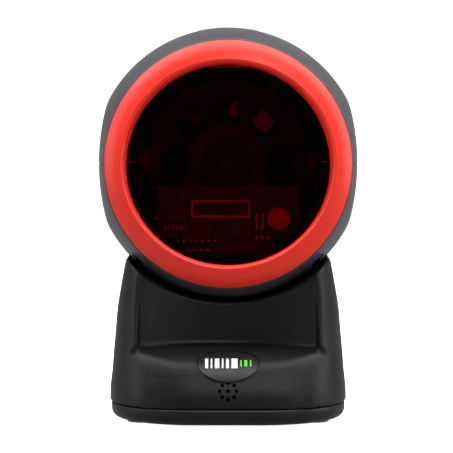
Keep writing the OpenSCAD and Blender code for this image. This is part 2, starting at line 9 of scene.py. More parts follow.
import bpy
import numpy as np
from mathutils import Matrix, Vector


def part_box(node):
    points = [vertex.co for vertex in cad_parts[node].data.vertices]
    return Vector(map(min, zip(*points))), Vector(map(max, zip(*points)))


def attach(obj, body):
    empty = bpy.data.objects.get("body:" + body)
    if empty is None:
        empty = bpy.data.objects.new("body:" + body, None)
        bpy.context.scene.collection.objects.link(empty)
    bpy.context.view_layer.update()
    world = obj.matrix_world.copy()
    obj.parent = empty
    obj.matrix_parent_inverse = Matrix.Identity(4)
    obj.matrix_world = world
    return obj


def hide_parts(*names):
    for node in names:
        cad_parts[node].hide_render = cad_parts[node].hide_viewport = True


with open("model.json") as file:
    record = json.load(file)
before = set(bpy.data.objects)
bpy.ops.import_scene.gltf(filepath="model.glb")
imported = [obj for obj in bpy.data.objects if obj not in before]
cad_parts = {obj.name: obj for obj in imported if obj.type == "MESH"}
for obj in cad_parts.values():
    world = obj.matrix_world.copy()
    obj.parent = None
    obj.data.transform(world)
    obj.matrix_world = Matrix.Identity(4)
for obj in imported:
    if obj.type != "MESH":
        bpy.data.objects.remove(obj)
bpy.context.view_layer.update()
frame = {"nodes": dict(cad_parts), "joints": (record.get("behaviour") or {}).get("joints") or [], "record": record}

MM = 0.001
TILT = next(j for j in frame["joints"] if j["name"] == "head_tilt")
BALL = np.array(TILT["pos_m"]) / MM

# ball head
BALL_R = 50.5
SHELL_T = 2.2
SIDE_HALF = 48.3
SIDE_DOME_R = 82.0
STRIP_A, STRIP_B, STRIP_GAP = 11.2, 2.6, 0.1
MOUTH_U = 22.3
MOUTH_BORE = 43.4
SEAM_GAP = 0.05
RIM_NEAR = np.array([0.0, 0.0022, 0.0055, 0.012])  # rows close to a shell's rim, as angles
RIM_DROPS = np.array([0.42, 0.14, 0.03, 0.0])  # how far those rows lie below the ball's surface

# red ring and window; distances u are forward of the ball's centre
GROOVE_U = 22.7
BEZEL_R = 45.0
CREST_R = 39.2
CREST_U = 27.5
PLUG_U = 17.0
WINDOW_R = 38.6
WINDOW_U = 22.3
WINDOW_T = 2.0
WINDOW_LEAN = math.radians(4.5)
OPENING_SQUASH = 0.03  # how much lower than wide the ring's opening is

# stand
SEAM_Z = 7.0
SEAM_CLEAR = 0.1
STAND_T = 2.4
CRADLE_GAP = 0.5
SCOOP_A = 33.0
SCOOP_R = 80.0
SCOOP_WALL_Y = -20.0
SCOOP_SIDE_Z, SCOOP_SIDE_X = (4, 12, 20, 28), (41, 40, 37, SCOOP_A)
TOE_Y, TOE_A, TOE_B = -21.0, 25.0, 21.0
TOP_EDGE_Z = 61.5
TOP_EDGE_Y = -24.0
TOP_EDGE_SLOPE = math.radians(15)
PLATE_Z = BALL[2] - 59  # underside of the yoke's plate
CABLE_HOLE_R, CABLE_HOLE_Y = 4.5, 8.0
YOKE_SLOT_IN, YOKE_SLOT_OUT, YOKE_SLOT_HALF = 31.4, 34.1, 5.5

# widths over which the casing's edges are rounded
SCOOP_ROUND, LEDGE_ROUND, TOP_ROUND, CRADLE_ROUND, SEAM_ROUND = 3.0, 2.2, 2.0, 1.4, 0.7

# the boxes in which the casing's surface and its hollow are looked for
CASING_LOW, CASING_HIGH = (-46.3, -47.3, 5.5), (46.5, 47.5, 84)
HOLLOW_LOW, HOLLOW_HIGH, HOLLOW_FLOOR = (-44, -45, 1), (44, 45, 80), 3

# badge, grille and base
BADGE_A, BADGE_B, BADGE_TURN = 11.3, 8.3, math.radians(50)
GRILLE_TURN, GRILLE_RING, GRILLE_HOLE = math.radians(20), 3.0, 0.7
BASE_SCREWS = [(x, y) for x in (-24, 24) for y in (-34, 36.5)]
BOARD_POSTS = [(x, y) for x in (-31, 31) for y in (-10, 26)]
FOOT_PLACES = [(side * x, y) for x, y in ((31, -22), (32, 25)) for side in (-1, 1)]
FOOT_POCKET_R, FOOT_POCKET_Z = 6.05, 1.8

# the casing's outline going up: height, half width, front, back, front and back corner radius
STAND_ROWS = np.array([
    [7, 43.8, -46, 46, 32, 30],
    [11, 43.8, -46, 46, 32, 30],
    [14, 43.6, -45.4, 45.9, 32, 30],
    [18, 43.0, -43.8, 45.7, 31, 30],
    [24, 42.7, -40.6, 45.3, 29, 30],
    [30, 42.1, -38.5, 44.9, 27, 30],
    [42, 41.1, -35.6, 44, 24, 30],
    [50, 39.6, -33.3, 43.2, 20, 30],
    [56, 38.6, -31.2, 42.4, 18, 29],
    [62, 37.2, -29, 41.4, 16, 28],
    [68, 35.4, -26.5, 40, 14, 26],
    [76, 32.2, -23, 38.5, 12, 24],
])


# ---------- mesh helpers ----------

SMOOTH_ANGLE = 35


def add_piece(name, points, faces, body, material, replaced=(), smooth_angle=SMOOTH_ANGLE):
    """A mesh object from points in millimetres, riding on a body."""
    mesh = bpy.data.meshes.new(name)
    mesh.from_pydata((np.asarray(points) * MM).tolist(), [], [list(f) for f in faces])
    mesh.update()
    piece = bpy.data.objects.new(name, mesh)
    bpy.context.scene.collection.objects.link(piece)
    mesh.shade_smooth()
    mesh.set_sharp_from_angle(angle=math.radians(smooth_angle))
    if material:
        mesh.materials.append(material)
    if body:
        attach(piece, body)
    if replaced:
        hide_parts(*replaced)
    return piece


def apply_modifiers(piece, smooth_angle=SMOOTH_ANGLE):
    """Bakes the modifiers into the mesh."""
    graph = bpy.context.evaluated_depsgraph_get()
    graph.update()
    mesh = bpy.data.meshes.new_from_object(piece.evaluated_get(graph), depsgraph=graph)
    old = piece.data
    piece.modifiers.clear()
    piece.data = mesh
    bpy.data.meshes.remove(old)
    mesh.shade_smooth()
    mesh.set_sharp_from_angle(angle=math.radians(smooth_angle))


def cut(piece, cutters, smooth_angle=SMOOTH_ANGLE):
    """Takes closed cutter objects out of a piece and removes them."""
    for tool in cutters:
        step = piece.modifiers.new("cut", "BOOLEAN")
        step.operation = "DIFFERENCE"
        step.solver = "MANIFOLD"
        step.object = tool
    apply_modifiers(piece, smooth_angle)
    for tool in cutters:
        bpy.data.objects.remove(tool)


def bevel(piece, width_mm, segments=2, angle=SMOOTH_ANGLE):
    """Rounds a piece's sharp edges."""
    step = piece.modifiers.new("round", "BEVEL")
    step.width = width_mm * MM
    step.segments = segments
    step.limit_method = "ANGLE"
    step.angle_limit = math.radians(angle)
    step.harden_normals = True


def rings_to_faces(rings, count, closed=True, caps=True):
    """Quads between successive rings of count points, with end caps if wanted."""
    faces = []
    span = count if closed else count - 1
    for i in range(rings - 1):
        for k in range(span):
            after = (k + 1) % count
            faces.append((i * count + k, i * count + after, (i + 1) * count + after, (i + 1) * count + k))
    if caps:
        faces.append(tuple(range(count - 1, -1, -1)))
        faces.append(tuple((rings - 1) * count + k for k in range(count)))
    return faces


def forward(points):
    """Points given as x, up and u about the ball's centre, moved into the model's frame."""
    points = np.asarray(points, float)
    return np.stack([points[:, 0], -points[:, 2], points[:, 1]], 1) + BALL


def leaned(points):
    """Points about the window's front face, moved into x, up and u with the window's lean."""
    points = np.asarray(points, float)
    c, s = math.cos(WINDOW_LEAN), math.sin(WINDOW_LEAN)
    up = points[:, 1] * c + points[:, 2] * s
    u = -points[:, 1] * s + points[:, 2] * c
    return np.stack([points[:, 0], up, u + WINDOW_U], 1)


def lathe(profile, segments=256):
    """A closed outline of radius and height, turned about its axis: points and faces."""
    angles = np.arange(segments) * 2 * math.pi / segments
    points = [(r * math.cos(a), r * math.sin(a), h) for a in angles for r, h in profile]
    n = len(profile)
    faces = []
    for i in range(segments):
        here, there = i * n, (i + 1) % segments * n
        for k in range(n):
            after = (k + 1) % n
            faces.append((here + k, there + k, there + after, here + after))
    return np.array(points), faces


def turned_solid(profile, segments):
    """Rows of radius and height turned about the axis, closed by a disc at each end."""
    angles = np.arange(segments) * 2 * math.pi / segments
    rings = [[(r * math.cos(a), r * math.sin(a), h) for a in angles] for r, h in profile]
    return np.array([p for ring in rings for p in ring]), rings_to_faces(len(profile), segments)


def smooth_max(a, b, k):
    """The larger of two fields, blended over a width k so that the edge is rounded."""
    h = np.clip(0.5 + 0.5 * (a - b) / k, 0, 1)
    return b + (a - b) * h + k * h * (1 - h)


def surface_net(field, low, high, step):
    """The zero surface of a field as quads, with every vertex moved onto the surface."""
    low = np.array(low, float)
    axes = [np.arange(a, b + step, step) for a, b in zip(low, high)]
    values = field(*np.meshgrid(*axes, indexing="ij"))
    inside = values < 0
    nx, ny, nz = values.shape
    counts = sum(inside[i:nx - 1 + i, j:ny - 1 + j, k:nz - 1 + k].astype(np.int8)
                 for i in (0, 1) for j in (0, 1) for k in (0, 1))
    active = (counts > 0) & (counts < 8)
    cells = np.argwhere(active)
    index = np.full(active.shape, -1)
    index[active] = np.arange(len(cells))
    total = np.zeros((len(cells), 3))
    hits = np.zeros(len(cells))
    for axis in range(3):
        others = [d for d in range(3) if d != axis]
        for a in (0, 1):
            for b in (0, 1):
                start = cells.copy()
                start[:, others[0]] += a
                start[:, others[1]] += b
                end = start.copy()
                end[:, axis] += 1
                v0 = values[tuple(start.T)]
                v1 = values[tuple(end.T)]
                crossed = (v0 < 0) != (v1 < 0)
                place = (start - cells).astype(float)
                with np.errstate(all="ignore"):
                    place[:, axis] += v0 / (v0 - v1)
                total[crossed] += place[crossed]
                hits += crossed
    points = low + (cells + total / hits[:, None]) * step
    quads = []
    for axis in range(3):
        u, v = (axis + 1) % 3, (axis + 2) % 3
        below = [slice(None)] * 3
        above = [slice(None)] * 3
        below[axis], above[axis] = slice(0, -1), slice(1, None)
        edges = np.argwhere(inside[tuple(below)] != inside[tuple(above)])
        edges = edges[(edges[:, u] > 0) & (edges[:, v] > 0)]
        corners = []
        for du, dv in ((-1, -1), (0, -1), (0, 0), (-1, 0)):
            cell = edges.copy()
            cell[:, u] += du
            cell[:, v] += dv
            corners.append(index[tuple(cell.T)])
        quad = np.stack(corners, 1)
        outward = inside[tuple(edges.T)]
        quad[~outward] = quad[~outward][:, ::-1]
        quads.append(quad)
    return settle(field, points), np.concatenate(quads)


def settle(field, points, rounds=3, probe=0.02):
    """Moves points along the field's gradient onto its zero surface."""
    for _ in range(rounds):
        value = field(*points.T)
        slope = np.zeros_like(points)
        for axis in range(3):
            shift = np.zeros(3)
            shift[axis] = probe
            slope[:, axis] = (field(*(points + shift).T) - field(*(points - shift).T)) / (2 * probe)
        points = points - slope * (value / np.maximum((slope ** 2).sum(1), 0.05))[:, None]
    return points


# ---------- materials ----------

class Shader:
    """A principled material with short ways to add procedural detail."""

    def __init__(self, name):
        self.material = bpy.data.materials.new(name)
        self.material.use_nodes = True
        self.tree = self.material.node_tree
        self.surface = self.tree.nodes["Principled BSDF"]
        self.place = self.tree.nodes.new("ShaderNodeTexCoord").outputs["Object"]

    def set(self, **values):
        """Constant values by socket name, with _ for a space."""
        for name, value in values.items():
            self.surface.inputs[name.replace("_", " ")].default_value = value
        return self

    def link(self, output, socket):
        self.tree.links.new(output, self.surface.inputs[socket])
        return self

    def noise(self, size_mm, detail=3.0, stretch=None):
        node = self.tree.nodes.new("ShaderNodeTexNoise")
        node.inputs["Scale"].default_value = 1 / (size_mm * MM)
        node.inputs["Detail"].default_value = detail
        place = self.place
        if stretch:
            mapping = self.tree.nodes.new("ShaderNodeMapping")
            mapping.inputs["Scale"].default_value = stretch
            self.tree.links.new(place, mapping.inputs["Vector"])
            place = mapping.outputs["Vector"]
        self.tree.links.new(place, node.inputs["Vector"])
        return node.outputs["Fac"]

    def cells(self, size_mm, feature="F1"):
        """Distances in a cell pattern, from the cells' centres or to their edges."""
        node = self.tree.nodes.new("ShaderNodeTexVoronoi")
        node.feature = feature
        node.inputs["Scale"].default_value = 1 / (size_mm * MM)
        self.tree.links.new(self.place, node.inputs["Vector"])
        return node.outputs["Distance"]

    def between(self, value, low, high, from_low=0.3, from_high=0.7):
        """A value's range from_low to from_high stretched over low to high."""
        node = self.tree.nodes.new("ShaderNodeMapRange")
        limits = {"From Min": from_low, "From Max": from_high, "To Min": low, "To Max": high}
        for name, number in limits.items():
            node.inputs[name].default_value = number
        self.tree.links.new(value, node.inputs["Value"])
        return node.outputs["Result"]

    def mix(self, factor, first, second):
        node = self.tree.nodes.new("ShaderNodeMix")
        node.data_type = "RGBA"
        for socket, value in ((node.inputs[6], first), (node.inputs[7], second)):
            if isinstance(value, tuple):
                socket.default_value = (*value, 1)
            else:
                self.tree.links.new(value, socket)
        self.tree.links.new(factor, node.inputs[0])
        return node.outputs[2]

    def bump(self, height, depth_mm):
        node = self.tree.nodes.new("ShaderNodeBump")
        node.inputs["Distance"].default_value = depth_mm * MM
        node.inputs["Strength"].default_value = 1.0
        self.tree.links.new(height, node.inputs["Height"])
        return self.link(node.outputs["Normal"], "Normal")


def shade(colour, factor):
    """A colour made darker or lighter."""
    return tuple(min(1.0, c * factor) for c in colour)


def moulded(name, colour, roughness, grain_mm=0.5, depth_mm=0.012, mottle=0.12, wear=0.25, **values):
    """Injection-moulded plastic: fine spark grain, faint mottling and slightly rubbed edges."""
    s = Shader(name)
    tone = s.mix(s.between(s.noise(14), 0, 1), shade(colour, 1 - mottle), shade(colour, 1 + mottle))
    edge = s.tree.nodes.new("ShaderNodeNewGeometry").outputs["Pointiness"]
    rubbed = s.between(edge, 0, wear, 0.53, 0.62)
    s.link(s.mix(rubbed, tone, shade(tuple(c + 0.02 for c in colour), 1.8)), "Base Color")
    s.link(s.between(s.noise(3.0, 5), roughness - 0.04, roughness + 0.05), "Roughness")
    s.bump(s.noise(grain_mm, 2), depth_mm)
    return s.set(**values).material


def brushed(name, colour, roughness=0.28, stretch=(1, 12, 12)):
    """Metal with fine drawn lines and cloudy tone."""
    s = Shader(name).set(Metallic=1.0)
    s.link(s.mix(s.between(s.noise(6), 0, 1), shade(colour, 0.85), colour), "Base Color")
    s.link(s.between(s.noise(1.2, 4, stretch), roughness - 0.08, roughness + 0.1), "Roughness")
    return s.bump(s.noise(0.8, 3, stretch), 0.01).material


def rubber(name, colour):
    """Matt rubber with cloudy tone and a coarse skin."""
    s = Shader(name)
    s.link(s.mix(s.between(s.noise(5), 0, 1), colour, shade(colour, 1.5)), "Base Color")
    s.link(s.between(s.noise(0.8), 0.7, 0.9), "Roughness")
    return s.bump(s.noise(0.6, 4), 0.03).material


def circuit(name, colour):
    """Solder resist over tracks, with tinned pads."""
    s = Shader(name)
    tracks = s.between(s.cells(2.2, "DISTANCE_TO_EDGE"), 1, 0, 0.04, 0.08)
    resist = s.mix(tracks, colour, shade(colour, 2.2))
    pads = s.between(s.cells(1.4), 1, 0, 0.09, 0.12)
    s.link(s.mix(pads, resist, (0.55, 0.55, 0.5)), "Base Color")
    s.link(s.between(s.noise(2.0), 0.25, 0.4), "Roughness")
    return s.bump(tracks, 0.03).material


def mirror_glass(name, colour=(0.86, 0.87, 0.9)):
    """A silvered face with faint smears."""
    s = Shader(name).set(Metallic=1.0)
    s.link(s.mix(s.between(s.noise(4), 0, 1), shade(colour, 0.95), colour), "Base Color")
    s.link(s.between(s.noise(1.5, 6), 0.03, 0.09), "Roughness")
    return s.material


def clear_epoxy(name, colour, roughness, through=0.6, glow=0.0):
    """Clear or milky resin, which may glow."""
    s = Shader(name).set(Transmission_Weight=through, IOR=1.5)
    s.link(s.mix(s.between(s.noise(2.5), 0, 1), shade(colour, 0.88), colour), "Base Color")
    s.link(s.between(s.noise(1.0), roughness - 0.05, roughness + 0.08), "Roughness")
    if glow:
        s.set(Emission_Color=(*colour, 1), Emission_Strength=glow)
    return s.material


def tinted_window(name):
    """A flat red filter: lamps shine through it, and it mirrors more at grazing angles."""
    material = bpy.data.materials.new(name)
    material.use_nodes = True
    tree = material.node_tree
    tree.nodes.remove(tree.nodes["Principled BSDF"])
    through = tree.nodes.new("ShaderNodeBsdfTransparent")
    gloss = tree.nodes.new("ShaderNodeBsdfGlossy")
    haze = tree.nodes.new("ShaderNodeTexNoise")
    haze.inputs["Scale"].default_value = 90
    tint = tree.nodes.new("ShaderNodeMapRange")
    mixer = tree.nodes.new("ShaderNodeMixShader")
    fresnel = tree.nodes.new("ShaderNodeFresnel")
    fresnel.inputs["IOR"].default_value = 1.33
    place = tree.nodes.new("ShaderNodeTexCoord")
    tree.links.new(place.outputs["Object"], haze.inputs["Vector"])
    tree.links.new(haze.outputs["Fac"], tint.inputs["Value"])
    tint.inputs["To Min"].default_value = 0.03
    tint.inputs["To Max"].default_value = 0.06
    tree.links.new(tint.outputs["Result"], gloss.inputs["Roughness"])
    through.inputs["Color"].default_value = (0.8, 0.012, 0.015, 1)
    gloss.inputs["Color"].default_value = (0.9, 0.85, 0.85, 1)
    tree.links.new(fresnel.outputs["Fac"], mixer.inputs["Fac"])
    tree.links.new(through.outputs["BSDF"], mixer.inputs[1])
    tree.links.new(gloss.outputs["BSDF"], mixer.inputs[2])
    tree.links.new(mixer.outputs["Shader"], tree.nodes["Material Output"].inputs["Surface"])
    return material


STAND_BLACK = (0.006, 0.0064, 0.0076)
BALL_GREY = (0.056, 0.058, 0.064)

MATERIALS = {
    "stand_plastic": moulded("stand_plastic", STAND_BLACK, 0.4, grain_mm=0.7, depth_mm=0.09,
                             Specular_IOR_Level=0.22),
    "ball_plastic": moulded("ball_plastic", BALL_GREY, 0.38, grain_mm=0.5, depth_mm=0.02),
    "bezel_red": moulded("bezel_red", (0.86, 0.028, 0.013), 0.32, grain_mm=0.4, depth_mm=0.004,
                         mottle=0.05, wear=0.2, Specular_IOR_Level=0.38),
    "badge_black": moulded("badge_black", (0.008, 0.008, 0.009), 0.36, grain_mm=0.5, depth_mm=0.012,
                           Specular_IOR_Level=0.3),
    "badge_print": moulded("badge_print", (0.85, 0.87, 0.86), 0.4, grain_mm=0.3, depth_mm=0.01, mottle=0.03),
    "component_black": moulded("component_black", (0.02, 0.02, 0.022), 0.5),
    "socket_plastic": moulded("socket_plastic", (0.014, 0.014, 0.016), 0.34),
    "header_plastic": moulded("header_plastic", (0.42, 0.4, 0.33), 0.45),
    "chassis_plastic": moulded("chassis_plastic", (0.02, 0.02, 0.021), 0.55, grain_mm=0.8, depth_mm=0.04),
    "washer_nylon": moulded("washer_nylon", (0.7, 0.7, 0.66), 0.5),
    "foot_rubber": rubber("foot_rubber", (0.014, 0.014, 0.015)),
    "gasket_rubber": rubber("gasket_rubber", (0.008, 0.008, 0.009)),
    "cable_jacket": rubber("cable_jacket", (0.012, 0.012, 0.013)),
    "steel_plate": brushed("steel_plate", (0.5, 0.5, 0.52), 0.38),
    "screw_steel": brushed("screw_steel", (0.6, 0.6, 0.62), 0.3, (12, 12, 1)),
    "motor_steel": brushed("motor_steel", (0.45, 0.45, 0.47), 0.32, (1, 12, 1)),
    "gold_contacts": brushed("gold_contacts", (0.85, 0.62, 0.25), 0.2, (12, 1, 12)),
    "laser_block": brushed("laser_block", (0.55, 0.55, 0.56), 0.45),
    "laser_brass": brushed("laser_brass", (0.72, 0.55, 0.28), 0.25, (1, 12, 12)),
    "capacitor_can": brushed("capacitor_can", (0.7, 0.66, 0.58), 0.35),
    "trimmer_metal": brushed("trimmer_metal", (0.75, 0.75, 0.77), 0.3),
    "stator_copper": brushed("stator_copper", (0.62, 0.28, 0.12), 0.35, (1, 1, 20)),
    "hub_aluminium": brushed("hub_aluminium", (0.75, 0.75, 0.77), 0.22),
    "circuit_board": circuit("circuit_board", (0.012, 0.09, 0.045)),
    "mirror_glass": mirror_glass("mirror_glass"),
    "led_epoxy": clear_epoxy("led_epoxy", (0.75, 0.85, 0.95), 0.2, glow=0.4),
    "lens_glass": clear_epoxy("lens_glass", (0.75, 0.85, 0.9), 0.1, 0.9),
    "lens_clear": clear_epoxy("lens_clear", (0.62, 0.65, 0.7), 0.35, 0.15),
    "window_glass": tinted_window("window_glass"),
}
# A darker copy of the mirror material for the polygon mirror and the left, upper left and right mirrors: painted
# shade, so that they look dim through the window beside the brighter upper right one.
PAINTED_SHADE_MIRROR = mirror_glass("mirror_painted_shade", (0.16, 0.16, 0.17))
BLACKENED_STEEL = brushed("blackened_steel", (0.03, 0.03, 0.032), 0.45)
PAINTED_SHADE_MIRROR_NODES = ("polygon_mirror", "mirror_upper_left", "mirror_left", "mirror_right")
BLACKENED_NODES = ("rotor_hub", "motor_shaft", "pivot_pins", "yoke_bracket", "pivot_washers")
NODE_MATERIALS = {
    **dict.fromkeys(PAINTED_SHADE_MIRROR_NODES, PAINTED_SHADE_MIRROR),
    **dict.fromkeys(BLACKENED_NODES, BLACKENED_STEEL),
}
BADGE_GREEN = moulded("badge_green", (0.09, 0.52, 0.05), 0.4, grain_mm=0.3, depth_mm=0.01, mottle=0.03)


# ---------- stand ----------

def stand_measure(column, blur_mm=2.5):
    """One column of the stand's rows as a smooth function of height."""
    heights = np.arange(0, 92, 0.25)
    values = np.interp(heights, STAND_ROWS[:, 0], STAND_ROWS[:, column])
    reach = np.arange(-3 * blur_mm, 3 * blur_mm + 0.1, 0.25)
    weights = np.exp(-0.5 * (reach / blur_mm) ** 2)
    padded = np.pad(values, len(reach) // 2, mode="edge")
    smooth = np.convolve(padded, weights / weights.sum(), mode="valid")[:len(heights)]
    return lambda z: np.interp(z, heights, smooth)


HALF_WIDTH, FRONT, BACK, FRONT_R, BACK_R = (stand_measure(c) for c in range(1, 6))


def plan_field(x, y, z):
    """How far a point is outside the stand's rounded outline at its height."""
    a, front, back = HALF_WIDTH(z), FRONT(z), BACK(z)
    middle, half = (front + back) / 2, (back - front) / 2
    r = np.where(y < middle, FRONT_R(z), BACK_R(z))
    qx = np.abs(x) - (a - r)
    qy = np.abs(y - middle) - (half - r)
    return np.minimum(np.maximum(qx, qy), 0) + np.hypot(np.maximum(qx, 0), np.maximum(qy, 0)) - r


def toe_depth(y, z):
    """How far a point is below the toe, a quarter ellipse in front and level behind it.

    The lower limits on reach and slope only keep the sum finite near the ellipse's centre.
    """
    ahead, above = np.minimum(y - TOE_Y, 0), np.maximum(z - SEAM_Z, 0)
    reach = np.maximum(np.hypot(ahead / TOE_A, above / TOE_B), 0.05)
    slope = np.maximum(np.hypot(ahead / TOE_A ** 2, above / TOE_B ** 2), 0.002) / reach
    return np.where(y < TOE_Y, (1 - reach) / slope, SEAM_Z + TOE_B - z)


def scoop_field(x, y, z):
    """Negative in the open space in front of the neck and above the toe."""
    wall = np.hypot(x, y - SCOOP_WALL_Y + SCOOP_R) - SCOOP_R
    side = np.abs(x) - np.interp(z, SCOOP_SIDE_Z, SCOOP_SIDE_X)
    return smooth_max(smooth_max(wall, side, SCOOP_ROUND), toe_depth(y, z), LEDGE_ROUND)


def casing_field(x, y, z):
    """The stand casing's outside, open downwards."""
    rounding = np.interp(z, [18, 30], [7.0, 1.8])  # the scoop's outer edges, softer beside the toe
    field = smooth_max(plan_field(x, y, z), -scoop_field(x, y, z), rounding)
    top = (z - TOP_EDGE_Z) * math.cos(TOP_EDGE_SLOPE) - (y - TOP_EDGE_Y) * math.sin(TOP_EDGE_SLOPE)
    field = smooth_max(field, top, TOP_ROUND)
    behind = np.maximum(y - BALL[1], 0)
    ball = np.sqrt(x ** 2 + behind ** 2 + (z - BALL[2]) ** 2) - BALL_R - CRADLE_GAP
    return smooth_max(field, -ball, CRADLE_ROUND)


def stand_field(x, y, z):
    """The casing's outside, closed just above the seam with the base tray."""
    return smooth_max(casing_field(x, y, z), SEAM_Z + SEAM_CLEAR - z, SEAM_ROUND)


def hollow_field(x, y, z):
    """The room inside the casing."""
    return np.maximum(casing_field(x, y, z) + STAND_T, HOLLOW_FLOOR - z)


def on_toe(points, turn):
    """Local points at an angle up the toe's quarter ellipse, their z being depth below its surface.

    Each round moves the points along the normal by what their depth still lacks.
    """
    points = np.asarray(points, float)
    lean = math.atan2(TOE_B * math.cos(turn), TOE_A * math.sin(turn))
    c, s = math.cos(lean), math.sin(lean)
    y0, z0 = TOE_Y - TOE_A * math.cos(turn), SEAM_Z + TOE_B * math.sin(turn)
    out = np.zeros(len(points))
    for _ in range(8):
        y = y0 + points[:, 1] * c - out * s
        z = z0 + points[:, 1] * s + out * c
        out += toe_depth(y, z) - points[:, 2]
    return np.stack([points[:, 0], y, z], 1)


def box_solid(x0, x1, y0, y1, z0, z1):
    """A box's corners and faces."""
    corners = [(x, y, z) for z in (z0, z1) for x, y in ((x0, y0), (x1, y0), (x1, y1), (x0, y1))]
    faces = [(3, 2, 1, 0), (4, 5, 6, 7), (0, 1, 5, 4), (1, 2, 6, 5), (2, 3, 7, 6), (3, 0, 4, 7)]
    return np.array(corners, float), faces


def cutter(points, faces):
    """An object that cut() takes out of a piece and removes."""
    return add_piece("cutter", points, faces, None, None)


def oval_solid(a, b, profile, segments=96):
    """A closed stack of ovals: profile rows are scale, inset and depth."""
    angles = np.arange(segments) * 2 * math.pi / segments
    points = [((a * scale - inset) * math.cos(t), (b * scale - inset) * math.sin(t), h)
              for scale, inset, h in profile for t in angles]
    return np.array(points), rings_to_faces(len(profile), segments)


def disc_rows(depth):
    """Rows that fill an oval from its middle out, so that it follows the toe."""
    return [(scale, 0, depth) for scale in (0.03, 0.2, 0.4, 0.6, 0.8, 0.94)]


def grille_places():
    """The buzzer's holes: one in the middle and eight round it."""
    return [(0, 0)] + [(GRILLE_RING * math.cos(k * math.pi / 4), GRILLE_RING * math.sin(k * math.pi / 4))
                       for k in range(8)]


def yoke_slots():
    """Left and right ends of the slots that the yoke's two ears pass through."""
    return [sorted((side * YOKE_SLOT_IN, side * YOKE_SLOT_OUT)) for side in (-1, 1)]


def badge_recess():
    """A cutter for the badge's seat in the toe, with a rounded edge."""
    edge = [(1, 0.2, 0.8), (1, 0, 0.6), (1, 0, 0.1), (1, -0.12, -0.06), (1, -0.5, -0.4)]
    recess, faces = oval_solid(BADGE_A, BADGE_B, disc_rows(0.8) + edge + disc_rows(-0.5)[::-1])
    return cutter(on_toe(recess, BADGE_TURN), faces)


def grille_holes():
    """Cutters for the buzzer's holes, with rounded mouths."""
    profile = [(GRILLE_HOLE, 6), (GRILLE_HOLE, 0.15), (GRILLE_HOLE + 0.3, -0.15), (GRILLE_HOLE + 0.6, -1)]
    hole, faces = turned_solid(profile, 24)
    return [cutter(on_toe(hole + [x, y, 0], GRILLE_TURN), faces) for x, y in grille_places()]


def socket_opening():
    """A cutter for the cable socket's opening, from inside the back wall to well behind it."""
    clear, inside, behind = 0.2, 38, 60
    low, high = (np.array(v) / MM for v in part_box("cable_socket"))
    low, high = low - clear, high + clear
    return cutter(*box_solid(low[0], high[0], inside, behind, low[2], high[2]))


def make_stand():
    """The casing: its outside, less its hollow, the badge's seat, the holes, the socket and the slots."""
    step, hollow_step = 0.62, 1.7
    points, faces = surface_net(stand_field, CASING_LOW, CASING_HIGH, step)
    casing = add_piece("stand_casing", points, faces, "stand",
                       MATERIALS["stand_plastic"], ("stand_shell",))
    hollow, hollow_faces = surface_net(hollow_field, HOLLOW_LOW, HOLLOW_HIGH, hollow_step)
    cutters = [cutter(hollow, hollow_faces), badge_recess(), *grille_holes(), socket_opening()]
    for left, right in yoke_slots():
        cutters.append(cutter(*box_solid(left, right, BALL[1] - YOKE_SLOT_HALF, BALL[1] + YOKE_SLOT_HALF,
                                         PLATE_Z - 1, BALL[2])))
    hole, hole_faces = turned_solid([(CABLE_HOLE_R, PLATE_Z), (CABLE_HOLE_R, PLATE_Z + 16)], 32)
    cutters.append(cutter(hole + [0, CABLE_HOLE_Y, 0], hole_faces))
    cut(casing, cutters)


def base_ring(inset, z, steps=24):
    """The base's outline, drawn in by an inset."""
    _, a, front, back, front_r, back_r = STAND_ROWS[0]
    corners = [(a - front_r, front + front_r, front_r, -90), (a - back_r, back - back_r, back_r, 0),
               (back_r - a, back - back_r, back_r, 90), (front_r - a, front + front_r, front_r, 180)]
    ring = []
    for x, y, r, start in corners:
        ring += [(x + (r - inset) * math.cos(t), y + (r - inset) * math.sin(t), z)
                 for t in np.radians(np.linspace(start, start + 90, steps))]
    return ring


def make_base():
    """The tray under the casing: its outside going up, then its inside going down."""
    outside = [(3.6, 1.2), (2.6, 1.3), (1.7, 1.75), (1.0, 2.6), (0.6, 3.6), (0.5, 5.4), (0.55, 6.4),
               (0.8, 6.75), (1.2, 6.9)]
    inside = [(2.9, 6.9), (2.9, 4.2), (3.2, 3.6), (4.0, 3.4)]
    rings = [base_ring(inset, z) for inset, z in outside + inside]
    points = [p for ring in rings for p in ring]
    faces = rings_to_faces(len(rings), len(rings[0]))
    base = add_piece("base_tray", points, faces, "stand", MATERIALS["stand_plastic"],
                     ("base_cover",))
    hole, hole_faces = turned_solid([(3.2, 0), (3.0, 1.4), (3.0, 2.4), (1.6, 2.45), (1.6, 6)], 40)
    pocket, pocket_faces = turned_solid([(FOOT_POCKET_R, 0), (FOOT_POCKET_R, FOOT_POCKET_Z)], 48)
    cut(base, [cutter(hole + [x, y, 0], hole_faces) for x, y in BASE_SCREWS]
        + [cutter(pocket + [x, y, 0], pocket_faces) for x, y in FOOT_PLACES])


def make_bosses():
    """Tubes on the tray's floor for the base screws and the interface board."""
    low = 3.4
    bosses = [(x, y, 4.0, 7.0, 1.6) for x, y in BASE_SCREWS]
    bosses += [(x, y, 2.6, 12.0, 1.1) for x, y in BOARD_POSTS]
    points, faces = [], []
    for x, y, r, top, bore in bosses:
        profile = [(bore, low), (r + 0.4, low), (r, low + 0.5), (r, top - 0.3), (r - 0.3, top), (bore, top)]
        ring_points, ring_faces = lathe(profile, 40)
        faces += [tuple(i + len(points) for i in f) for f in ring_faces]
        points += (ring_points + [x, y, 0]).tolist()
    add_piece("base_bosses", points, faces, "stand", MATERIALS["stand_plastic"])


